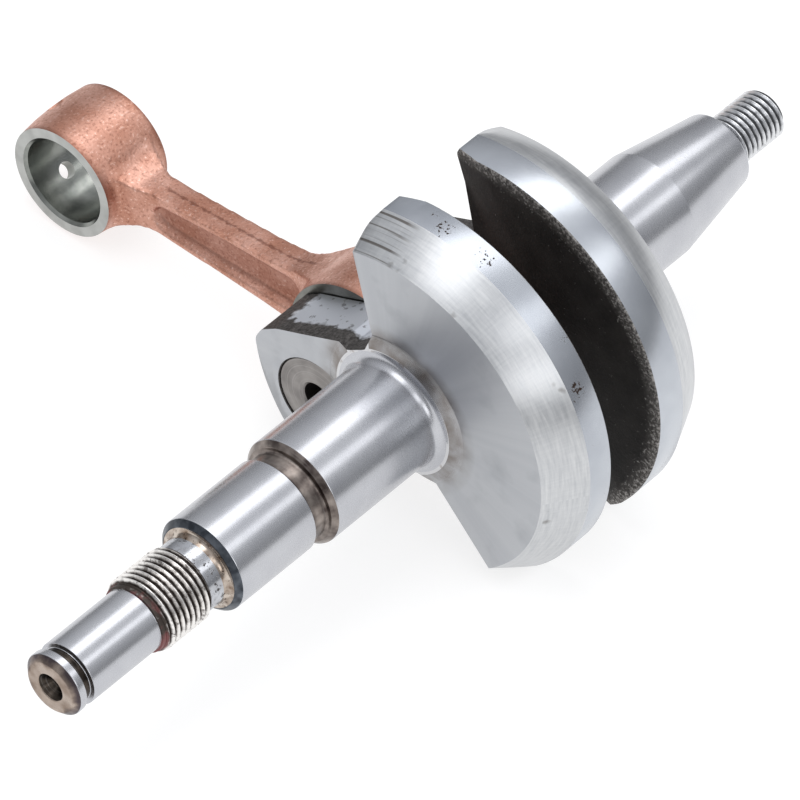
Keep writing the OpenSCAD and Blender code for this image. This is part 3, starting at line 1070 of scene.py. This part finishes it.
# %% Temper colours
def make_temper_colours():
    """Straw in the middle of the tip, and brown towards its edge, from hardening heat."""
    material, shader, place = steel("straw_tempered_steel", 0.3)
    axes, radius, angle = polar(material, place)
    cloud = node(material, "TexNoise", {"Vector": place, "Scale": 1 / 2.2, "Detail": 4})
    spotted = node(material, "MapRange", {"Value": cloud, "From Min": 0.35, "From Max": 0.65})
    straw = node(material, "Mix", {0: spotted, 6: "#AFA196", 7: "#8A796C"}, data_type="RGBA")
    outwards = node(material, "MapRange", {"Value": radius, "From Min": 2, "From Max": 4.9})
    uneven = node(material, "Math", {0: outwards, 1: cloud}, operation="ADD")
    edge = node(material, "MapRange", {"Value": uneven, "From Min": 1.15, "From Max": 1.5})
    tone = node(material, "Mix", {0: edge, 6: straw, 7: "#4F474A"}, data_type="RGBA")
    rough = node(material, "MapRange", {
        "Value": cloud, "From Min": 0.3, "From Max": 0.7, "To Min": 0.22, "To Max": 0.4,
    })
    feed(material, shader, {"Base Color": tone, "Roughness": rough})
    return material


temper_colours = make_temper_colours()


# %% Polished collars
def make_polished_collar():
    """Polished steel, nearly a mirror, with dull brown stains."""
    material, shader, place = steel("polished_steel", 0.12)
    cloud = node(material, "TexNoise", {"Vector": place, "Scale": 1 / 1.7, "Detail": 4})
    stain = node(material, "MapRange", {
        "Value": cloud, "From Min": 0.6, "From Max": 0.72, "To Max": 0.7,
    })
    tone = node(material, "Mix", {0: stain, 6: "#CBCBCD", 7: "#7D6C5E"}, data_type="RGBA")
    rough = node(material, "MapRange", {"Value": stain, "To Min": 0.12, "To Max": 0.4})
    feed(material, shader, {"Base Color": tone, "Roughness": rough})
    return material


polished_collar = make_polished_collar()


# %% Neck and fillet where oil dried
def make_oil_stained(name, light, dark, least_crust):
    """Smooth steel under a film of oil, with dark raised crusts where it dried."""
    material, shader, place = steel(name, 0.2)
    clouds = node(material, "TexNoise", {"Vector": place, "Scale": 1 / 1.4, "Detail": 4})
    film = node(material, "MapRange", {"Value": clouds, "From Min": 0.36, "From Max": 0.66})
    tone = node(material, "Mix", {0: film, 6: light, 7: dark}, data_type="RGBA")
    crusts = node(material, "TexNoise", {
        "Vector": place, "Scale": 1 / 0.7, "Detail": 5, "Roughness": 0.7,
    })
    crust = node(material, "MapRange", {
        "Value": crusts, "From Min": least_crust, "From Max": least_crust + 0.07, "To Max": 0.85,
    })
    tone = node(material, "Mix", {0: crust, 6: tone, 7: "#2E2420"}, data_type="RGBA")
    rough = node(material, "MapRange", {"Value": crust, "To Min": 0.18, "To Max": 0.6})
    bump = node(material, "Bump", {"Height": crust, "Distance": 0.02 * MM})
    feed(material, shader, {"Base Color": tone, "Roughness": rough, "Normal": bump})
    return material


stained_fillet = make_oil_stained("polished_steel_with_dried_oil", "#C6BBB0", "#8A786A", 0.59)
stained_neck = make_oil_stained("ground_steel_with_dried_oil", "#BFC1C6", "#A9AAAE", 0.57)


# %% Cut threads
def make_cut_thread(name, crest_r, root_shade_colour, crest_highlight_colour, stained_x, crusted):
    """Cut threads with painted highlights on their crests and painted shade in their roots, broken up by dirt."""
    material, shader, place = steel(name, 0.36)
    axes, radius, angle = polar(material, place)
    # painted light and shade by the radius: crests get a light colour as a highlight, roots a dark one as shade
    height = node(material, "MapRange", {
        "Value": radius, "From Min": crest_r - 0.5, "From Max": crest_r - 0.18,
    })
    dirt = node(material, "TexNoise", {"Vector": place, "Scale": 1 / 0.9, "Detail": 4})
    lift = node(material, "MapRange", {
        "Value": dirt, "From Min": 0.3, "From Max": 0.7, "To Min": -0.35, "To Max": 0.25,
    })
    crest_and_dirt_mask = node(material, "Math", {0: height, 1: lift}, operation="ADD")
    painted_crest_light = node(material, "MapRange", {"Value": crest_and_dirt_mask, "From Min": 0.1, "From Max": 0.9})
    tone = node(material, "Mix", {0: painted_crest_light, 6: root_shade_colour, 7: crest_highlight_colour}, data_type="RGBA")
    # brown crusts of dried oil sit across the turns
    crusts = node(material, "TexNoise", {
        "Vector": place, "Scale": 1 / 1.3, "Detail": 5, "Roughness": 0.7,
    })
    crust = node(material, "MapRange", {
        "Value": crusts, "From Min": 0.56, "From Max": 0.62, "To Max": crusted,
    })
    tone = node(material, "Mix", {0: crust, 6: tone, 7: "#3B2E29"}, data_type="RGBA")
    # a reddish stain of copper plating where the thread starts
    at_start = node(material, "MapRange", {
        "Value": axes.outputs["X"], "From Min": stained_x, "From Max": stained_x + 0.5,
        "To Min": 1, "To Max": 0,
    })
    blotches = node(material, "TexNoise", {"Vector": place, "Scale": 1 / 2.6, "Detail": 3})
    blotch = node(material, "MapRange", {
        "Value": blotches, "From Min": 0.45, "From Max": 0.58, "To Max": 0.85,
    })
    stain = node(material, "Math", {0: at_start, 1: blotch}, operation="MULTIPLY")
    tone = node(material, "Mix", {0: stain, 6: tone, 7: "#8C5C5C"}, data_type="RGBA")
    rough = node(material, "MapRange", {"Value": crest_and_dirt_mask, "To Min": 0.55, "To Max": 0.28})
    grit = node(material, "TexNoise", {"Vector": place, "Scale": 1 / 0.3, "Detail": 3})
    bump = node(material, "Bump", {"Height": grit, "Distance": 0.02 * MM})
    feed(material, shader, {"Base Color": tone, "Roughness": rough, "Normal": bump})
    return material


# the root colour is painted shade and the crest colour a painted highlight
clutch_thread_finish = make_cut_thread(
    "cut_thread_with_dry_oil", clutch_thread_r, "#4F4844", "#F1EEEB", thread_start, 0.7,
)
no_stain_x = -100
nut_thread_finish = make_cut_thread(
    "cut_thread", nut_thread_r, "#6C6D70", "#E4E5E7", no_stain_x, 0,
)
print("made the small finishes")

# %% [markdown]
# ### Copper-plated rod
#
# The rod is copper plated before case hardening, so that only its bores harden.
# The plate is thin, matte and pinkish, because it lies on a shot-blasted
# forging: thousands of tiny dents, painted darker at their bottoms as shade and lighter
# at their brinks as sparkle. The flash of the forging dies
# was trimmed along the middle of the shank and shows as a dark, rough line.


# %% Copper plate
def make_copper_plate():
    material, shader, place = steel("copper_plate_on_blasted_forging", 0.42)
    dents = node(material, "TexNoise", {
        "Vector": place, "Scale": 1 / 0.42, "Detail": 3, "Roughness": 0.6,
    })
    cloud = node(material, "TexNoise", {"Vector": place, "Scale": 1 / 4.5, "Detail": 4})
    lighter = node(material, "MapRange", {"Value": cloud, "From Min": 0.35, "From Max": 0.68})
    tone = node(material, "Mix", {0: lighter, 6: "#BC8874", 7: "#D6A796"}, data_type="RGBA")
    # painted shade in the dent bottoms, and painted sparkle on their brinks below
    dent_painted_shade = node(material, "MapRange", {
        "Value": dents, "From Min": 0.30, "From Max": 0.46, "To Min": 0.55, "To Max": 0,
    })
    tone = node(material, "Mix", {0: dent_painted_shade, 6: tone, 7: "#80523F"}, data_type="RGBA")
    dent_painted_sparkle = node(material, "MapRange", {
        "Value": dents, "From Min": 0.60, "From Max": 0.72, "To Max": 0.65,
    })
    tone = node(material, "Mix", {0: dent_painted_sparkle, 6: tone, 7: "#F5D5C8"}, data_type="RGBA")
    # where the shank is, between the two eyes
    axes = node(material, "SeparateXYZ", {0: place})
    along = node(material, "Math", {0: axes.outputs["Y"], 1: pin.y / MM}, operation="SUBTRACT")
    from_big = node(material, "MapRange", {"Value": along, "From Min": 12.5, "From Max": 15})
    to_small = node(material, "MapRange", {
        "Value": along, "From Min": 42, "From Max": 46, "To Min": 1, "To Max": 0,
    })
    on_shank = node(material, "Math", {0: from_big, 1: to_small}, operation="MULTIPLY")
    # the trimmed flash, half a millimetre wide, only along the shank
    away = from_middle(material, axes)
    waves = node(material, "TexNoise", {"Vector": place, "Scale": 1 / 0.9, "Detail": 4})
    wander = node(material, "MapRange", {
        "Value": waves, "From Min": 0.3, "From Max": 0.7, "To Min": -0.3, "To Max": 0.3,
    })
    ragged = node(material, "Math", {0: away, 1: wander}, operation="ADD")
    line = node(material, "MapRange", {
        "Value": ragged, "From Min": 0.02, "From Max": 0.34, "To Min": 0.6, "To Max": 0,
    })
    flash = node(material, "Math", {0: line, 1: on_shank}, operation="MULTIPLY")
    # the floors of the pockets are painted darker, as the shade in those recesses
    from_pin = node(material, "VectorMath", {0: place, 1: pin / MM}, operation="SUBTRACT")
    sideways = (rod_point(0, 0, 1) - rod_point(0, 0, 0)) / MM
    aside = node(material, "VectorMath", {0: from_pin, 1: sideways}, operation="DOT_PRODUCT")
    aside = node(material, "Math", {0: aside}, operation="ABSOLUTE")
    inside = node(material, "MapRange", {
        "Value": aside, "From Min": 2.4, "From Max": 3.6, "To Min": 1, "To Max": 0,
    })
    sunken = node(material, "MapRange", {
        "Value": away, "From Min": 1.3, "From Max": 2.3, "To Min": 0.5, "To Max": 0,
    })
    pocket_floor = node(material, "Math", {0: sunken, 1: inside}, operation="MULTIPLY")
    painted_pocket_shade = node(material, "Math", {0: pocket_floor, 1: on_shank}, operation="MULTIPLY")
    tone = node(material, "Mix", {0: painted_pocket_shade, 6: tone, 7: "#7C4E3F"}, data_type="RGBA")
    # and it is darker brown beside the ground faces
    darker_beside_faces = node(material, "MapRange", {
        "Value": away, "From Min": 5.4, "From Max": 6.2, "To Max": 0.55,
    })
    tone = node(material, "Mix", {0: darker_beside_faces, 6: tone, 7: "#70402F"}, data_type="RGBA")
    tone = node(material, "Mix", {0: flash, 6: tone, 7: "#6A3C2E"}, data_type="RGBA")
    rough = node(material, "MapRange", {
        "Value": dents, "From Min": 0.35, "From Max": 0.7, "To Min": 0.52, "To Max": 0.36,
    })
    bump = node(material, "Bump", {"Height": dents, "Distance": 0.07 * MM})
    feed(material, shader, {"Base Color": tone, "Roughness": rough, "Normal": bump})
    return material


copper_plate = make_copper_plate()
print(copper_plate.name, len(copper_plate.node_tree.nodes), "nodes")

# %% [markdown]
# ### Finishes of two soft tones
#
# Seven finishes are much alike: two close tones in soft spots, and on some of
# them fine marks that only the light shows. They differ in their sizes.
#
# - Blued chamfers are dark grey from the hardening furnace, with a satin gloss.
# - The small end's faces are surface ground, so they are pale, with fine straight
#   marks. Those of the big end are the same, painted darker as the shade between
#   the webs.
# - Honed bores are smooth, and painted fairly dark as the shade inside the bores.
# - The cage is phosphated, which makes it dull grey and slightly rough.
# - The rollers are lapped: they are the smoothest, with rings that hardly show.


# %% Finishes of two soft tones
def make_two_tone(name, roughness, spots, low, high, dark, light, marks=None, depth=0):
    """Steel of two tones. Spots and marks are grain sizes in mm along X, Y and Z, and a detail."""
    material, shader, place = steel(name, roughness)
    patterns = []
    for *size, detail in [spots] + ([marks] if marks else []):
        scaled = node(material, "Mapping", {"Vector": place, "Scale": [1 / s for s in size]})
        patterns.append(node(material, "TexNoise", {"Vector": scaled, "Scale": 1, "Detail": detail}))
    lighter = node(material, "MapRange", {"Value": patterns[0], "From Min": low, "From Max": high})
    tone = node(material, "Mix", {0: lighter, 6: dark, 7: light}, data_type="RGBA")
    feed(material, shader, {"Base Color": tone})
    if marks:
        bump = node(material, "Bump", {"Height": patterns[1], "Distance": depth * MM})
        feed(material, shader, {"Normal": bump})
    return material


blued_chamfer = make_two_tone(
    "blue_tempered_steel", 0.35, (1.5, 1.5, 1.5, 3), 0.35, 0.7, "#3B3F45", "#666B72",
)
ground_eye = make_two_tone(
    "surface_ground_steel", 0.38, (3, 3, 3, 3), 0.35, 0.65, "#A2A3A0", "#B5B6B3",
    marks=(0.1, 0.1, 1.2, 2), depth=0.002,
)
# the big end's faces are painted darker, as the shade between the webs
big_end_face_in_painted_shade = make_two_tone(
    "surface_ground_steel_darkened_as_shade", 0.3, (3, 3, 3, 3), 0.35, 0.65, "#6A6A65", "#83837E",
)
# the bores are painted fairly dark, as the shade inside them
bore_in_painted_shade = make_two_tone(
    "honed_steel_darkened_as_shade", 0.24, (2.5, 2.5, 2.5, 3), 0.35, 0.65, "#7D807C", "#989A95",
    marks=(0.09, 2.7, 2.7, 2), depth=0.002,
)
cage_steel = make_two_tone(
    "phosphated_cage_steel", 0.45, (1, 1, 1, 4), 0.3, 0.7, "#55565A", "#7C7D81",
    marks=(0.3, 0.3, 0.3, 3), depth=0.01,
)
roller_steel = make_two_tone(
    "lapped_roller_steel", 0.12, (0.08, 2.4, 2.4, 2), 0.3, 0.7, "#CFD1D4", "#DDDEE0",
)


# %% Crank pin
def make_pin_end():
    """Case-hardened steel, turned on the end faces, so it shows rings about the pin's axis."""
    material, shader, place = steel("case_hardened_pin_steel", 0.36)
    from_pin = node(material, "VectorMath", {0: place, 1: pin / MM}, operation="SUBTRACT")
    axes, radius, angle = polar(material, from_pin)
    outwards = node(material, "CombineXYZ", {"X": radius})
    ring_w = 0.25
    rings = node(material, "TexNoise", {"Vector": outwards, "Scale": 1 / ring_w, "Detail": 2})
    cloud = node(material, "TexNoise", {"Vector": place, "Scale": 1 / 3, "Detail": 3})
    lighter = node(material, "MapRange", {"Value": cloud, "From Min": 0.35, "From Max": 0.65})
    tone = node(material, "Mix", {0: lighter, 6: "#7B7775", 7: "#928E8B"}, data_type="RGBA")
    bright = node(material, "MapRange", {
        "Value": rings, "From Min": 0.5, "From Max": 0.7, "To Max": 0.5,
    })
    tone = node(material, "Mix", {0: bright, 6: tone, 7: "#A8A5A2"}, data_type="RGBA")
    bump = node(material, "Bump", {"Height": rings, "Distance": 0.012 * MM})
    feed(material, shader, {"Base Color": tone, "Normal": bump})
    return material


pin_end = make_pin_end()
print("made", len(bpy.data.materials), "materials")

# %% [markdown]
# ## Which finish goes where
#
# One forging carries many finishes, one for each operation. Each face of a
# finished piece is given the finish of the operation that made it, from its
# station along X, its radius and the way it faces.


# %% Finishes of the crank halves
# booleans leave needle-thin faces, which go when points this close become one
same_point = 0.0001 * MM


def dress(piece, finishes, choose):
    """Gives each face of a piece one finish, by its centre in mm and its normal."""
    only(piece)
    bpy.ops.object.mode_set(mode="EDIT")
    bpy.ops.mesh.select_all(action="SELECT")
    bpy.ops.mesh.remove_doubles(threshold=same_point)
    bpy.ops.object.mode_set(mode="OBJECT")
    piece.data.materials.clear()
    for finish in finishes:
        piece.data.materials.append(finish)
    for face in piece.data.polygons:
        chosen = choose(face.center / MM, face.normal)
        face.material_index = finishes.index(chosen)
    only(piece)
    bpy.ops.object.shade_smooth_by_angle(angle=math.radians(32))


def web_finish(depth, radius, normal, outward):
    """The finish of a web's face, at a depth below its outer face."""
    facing = normal.x * outward
    radial = math.hypot(normal.y, normal.z)
    if facing > 0.98 and depth < 0.15:
        return turned_face
    if radius > 26.0 and depth < counterweight_t - 4.0 and facing > 0.3:
        return turned_cone
    if radius > 29.6 and radial > 0.9:
        return ground_rim
    if facing < -0.4:
        return forging_scale
    return forged_side


def clutch_finish(centre, normal):
    x, radius = centre.x, math.hypot(centre.y, centre.z)
    if x > clutch_face - 0.05:
        if radius < collar_foot_r + 0.1 and x < clutch_face + 0.2:
            return turned_face
        return web_finish(x - clutch_face, radius, normal, -1)
    if x > collar_x - 0.2 and abs(radius - collar_r) < 0.3:
        return polished_collar
    if x > collar_x + 0.02:
        return turned_face
    if x > journal_front + 0.75:
        return ground_journal
    if x > seat_end - 0.05:
        return turned_relief
    if x > seat_start + 0.8:
        return ground_journal
    if x > seat_start - 0.05 and radius > 6.4:
        return blued_chamfer
    if x > seat_start - 1.1:
        return stained_fillet
    if x > thread_end:
        return stained_neck
    if x > thread_start - 0.75:
        return clutch_thread_finish
    if x > tip + 3.4:
        return ground_journal
    # the ring groove, painted nearly black as its shade
    if x > tip + 1.9 and radius > 3:
        return relief_in_painted_shade
    if radius > drum_r - 0.15:
        return ground_journal
    # the centre drilling, painted nearly black as its shade
    if x > tip + 0.3 and radius < 2.2:
        return relief_in_painted_shade
    return temper_colours


dress(
    crank_half_clutch,
    [
        ground_journal, turned_face, turned_cone, ground_rim, forging_scale, forged_side,
        turned_relief, relief_in_painted_shade, temper_colours, polished_collar, stained_fillet, stained_neck,
        blued_chamfer, clutch_thread_finish,
    ],
    clutch_finish,
)


def flywheel_finish(centre, normal):
    x, radius = centre.x, math.hypot(centre.y, centre.z)
    if x < flywheel_face + 0.05:
        return web_finish(flywheel_face - x, radius, normal, 1)
    if x < flywheel_face + collar_h + 0.2 and abs(radius - collar_r) < 0.3:
        return polished_collar
    if x < flywheel_face + collar_h - 0.02:
        return turned_face
    if x < taper_end + 0.05:
        return ground_journal
    return nut_thread_finish


dress(
    crank_half_flywheel,
    [
        ground_journal, turned_face, turned_cone, ground_rim, forging_scale, forged_side,
        polished_collar, nut_thread_finish,
    ],
    flywheel_finish,
)


# %% Finishes of the rod, the pin and the bearing
def rod_finish(centre, normal):
    from_big = math.hypot(centre.y - pin.y / MM, centre.z - pin.z / MM)
    from_small = math.hypot(centre.y - small_end.y / MM, centre.z - small_end.z / MM)
    # side faces: the big end's get the finish painted darker as the shade between the webs
    if abs(centre.x - mid) > rod_half_w - 0.02 and abs(normal.x) > 0.99:
        return big_end_face_in_painted_shade if from_big < from_small else ground_eye
    # bores get the finish painted dark as the shade inside them
    if from_big < race_r + 0.36 or from_small < small_bore_r + 0.46:
        return bore_in_painted_shade
    if from_small < small_end_r - 0.6:
        return bore_in_painted_shade
    return copper_plate


dress(connecting_rod, [copper_plate, ground_eye, big_end_face_in_painted_shade, bore_in_painted_shade], rod_finish)
dress(crank_pin, [pin_end], lambda centre, normal: pin_end)
for name, cad_node in frame["nodes"].items():
    if name.startswith("roller_"):
        cad_node.data.materials.clear()
        cad_node.data.materials.append(cage_steel if name == "roller_cage" else roller_steel)
print("dressed the pieces")

# %% [markdown]
# ## Bodies
#
# The new pieces stand for their CAD nodes and move with the same bodies. The
# cage and the rollers keep their CAD shapes.

# %% Put the pieces on their bodies
for piece, cad_name, body, slot_name in [
    (crank_half_clutch, "crank_half_clutch", "crank", "ground_forged_steel"),
    (crank_half_flywheel, "crank_half_flywheel", "crank", "ground_forged_steel"),
    (crank_pin, "crank_pin", "crank", "hardened_pin_steel"),
    (connecting_rod, "connecting_rod", "rod", "copper_plated_steel"),
]:
    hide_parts(cad_name)
    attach(piece, body)
    print(piece.name, "rides on", body, "with", triangles(piece), "triangles")

# %% [markdown]
# ## Floor and light
#
# The crank lies on a white light table, so nothing casts a hard shadow. Long
# soft boxes hang above it, along the shaft: they draw the bright bands that make
# ground cylinders look round. The room around is grey, because steel shows what
# it reflects, and dark bands beside bright ones are what makes it look like
# metal.

# %% Floor
bpy.ops.object.select_all(action="DESELECT")
bpy.ops.mesh.primitive_plane_add(size=1.1, location=(view_centre.x, view_centre.y, cad_low.z - 0.00005))
floor = bpy.context.object
floor.name = "floor"
table_top = bpy.data.materials.new("white_light_table")
table_top.use_nodes = True
feed(table_top, table_top.node_tree.nodes["Principled BSDF"], {
    "Base Color": "#9A9A9A", "Roughness": 1, "Specular IOR Level": 0,
    "Emission Color": "#FFFFFF", "Emission Strength": 0.76,
})
floor.data.materials.append(table_top)


# %% Lights
def soft_box(name, y, z, width, length, power, shift=0.0):
    """A long soft box above the crank, aimed at its axis."""
    data = bpy.data.lights.new(name, "AREA")
    data.shape = "RECTANGLE"
    data.size = length
    data.size_y = width
    data.energy = power
    box = bpy.data.objects.new(name, data)
    bpy.context.scene.collection.objects.link(box)
    box.location = (shift, y, z)
    box.rotation_euler = (math.atan2(y, -z) + math.pi, 0, 0)
    return box


soft_box("overhead", 0.10, 0.62, 0.30, 1.6, 2.6, 0.3)
soft_box("front", -0.46, 0.58, 0.20, 1.6, 1.2, 0.3)
soft_box("low_front", -0.80, 0.36, 0.30, 0.7, 1.1, -0.5)

world = bpy.data.worlds.new("studio")
bpy.context.scene.world = world
world.use_nodes = True
direction = node(world, "SeparateXYZ", {0: node(world, "TexCoord", {}).outputs["Generated"]})
upwards = node(world, "MapRange", {
    "Value": direction.outputs["Z"], "From Min": 0.05, "From Max": 0.75, "To Min": 0.32, "To Max": 0.88,
})
feed(world, world.node_tree.nodes["Background"], {"Strength": upwards, "Color": "#F4F6FA"})

scene = bpy.context.scene
scene.view_settings.view_transform = "Standard"
scene.view_settings.look = "None"
scene.view_settings.exposure = 0
